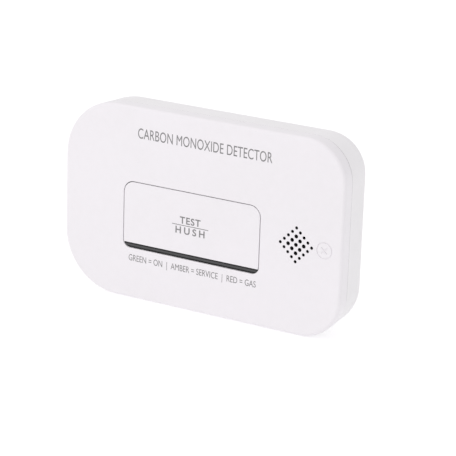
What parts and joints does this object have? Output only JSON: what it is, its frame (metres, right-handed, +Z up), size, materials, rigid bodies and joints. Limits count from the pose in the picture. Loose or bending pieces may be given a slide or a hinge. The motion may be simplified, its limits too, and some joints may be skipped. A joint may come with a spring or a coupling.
{
  "type": "carbon monoxide detector",
  "caption": "Slim white carbon monoxide alarm for a wall: rounded case, wide test button over a smoked indicator bar, small sounder grille, battery bay and slide-off wall plate.",
  "frame": {"origin": "on the back face of the wall plate, where it meets the wall, level with the middle of the case and on its centre line", "axes": "+X to the right as seen from the room, +Y into the wall, +Z up; the front face looks along -Y"},
  "size_m": [0.1198, 0.027, 0.0758],
  "materials": {
    "cover_plastic": "fine satin moulding, white",
    "case_plastic": "fine matt texture, white",
    "plate_plastic": "fine matt texture, off-white",
    "smoked_plastic": "smoked polycarbonate, polished",
    "black_plastic": "matt black moulding",
    "clear_plastic": "polished acrylic",
    "green_led": "tinted epoxy",
    "yellow_led": "tinted epoxy",
    "red_led": "tinted epoxy",
    "circuit_board": "solder mask over glass fibre",
    "steel": "zinc plated",
    "sensor_steel": "drawn steel",
    "chip_ceramic": "fired ceramic",
    "capacitor_can": "printed sleeve",
    "copper_winding": "enamelled copper wire",
    "gold_pins": "gold plated",
    "filter_cloth": "porous filter felt",
    "sounder_brass": "rolled brass",
    "piezo_ceramic": "fired ceramic",
    "foam": "closed-cell foam",
    "wire_sleeve": "PVC sleeve",
    "mesh_cloth": "woven dust mesh",
    "cell_wrap": "plain printed sleeve over steel",
    "contact_metal": "nickel plated spring steel",
    "label_paper": "plain film label with nothing printed"
  },
  "bodies": {
    "plate": {"wall_plate": "plate_plastic"},
    "alarm": {"rear_housing": "case_plastic", "front_cover": "cover_plastic", "indicator_bar": "smoked_plastic", "light_baffle": "black_plastic", "light_guides": "clear_plastic", "power_led": "green_led", "fault_led": "yellow_led", "alarm_led": "red_led", "main_board": "circuit_board", "board_screws": "steel", "switch_body": "black_plastic", "microcontroller": "black_plastic", "amplifier_chip": "black_plastic", "chip_resistors": "chip_ceramic", "chip_capacitors": "chip_ceramic", "reservoir_capacitor": "capacitor_can", "sounder_coil": "copper_winding", "service_header": "black_plastic", "header_pins": "gold_pins", "sensor_base": "black_plastic", "sensor_can": "sensor_steel", "sensor_filter": "filter_cloth", "sensor_cell": "black_plastic", "sensor_pins": "gold_pins", "sounder_case": "black_plastic", "sounder_cap": "black_plastic", "sounder_disc": "sounder_brass", "sounder_ceramic": "piezo_ceramic", "sounder_gasket": "foam", "sounder_leads": "wire_sleeve", "dust_mesh": "mesh_cloth", "case_screws": "steel", "cell_left": "cell_wrap", "cell_right": "cell_wrap", "battery_springs": "contact_metal", "bridge_contact": "contact_metal", "negative_contact": "contact_metal", "positive_contact": "contact_metal", "rating_label": "label_paper"},
    "door": {"battery_door": "case_plastic"},
    "button": {"test_button": "cover_plastic"},
    "plunger": {"switch_plunger": "black_plastic"}
  },
  "joints": [
    {"name": "plate_slide", "type": "slide", "parent": "plate", "child": "alarm", "axis": [0, 0, 1], "range_m": [0, 0.066]},
    {"name": "door_hinge", "type": "hinge", "parent": "alarm", "child": "door", "pos_m": [-0.0322, -0.0015, 0.0226], "axis": [1, 0, 0], "range_deg": [0, 95]},
    {"name": "button_press", "type": "hinge", "parent": "alarm", "child": "button", "pos_m": [-0.0037, -0.0236, 0.00715], "axis": [1, 0, 0], "range_deg": [0, 1.8], "stiffness_Nm_per_rad": 1.5, "springref_deg": -1.15},
    {"name": "plunger_press", "type": "slide", "parent": "alarm", "child": "plunger", "axis": [0, 1, 0], "range_m": [0, 0.0005]}
  ],
  "couplings": [
    {"joint": "plunger_press", "follows": "button_press", "m_per_rad": 0.0154}
  ]
}
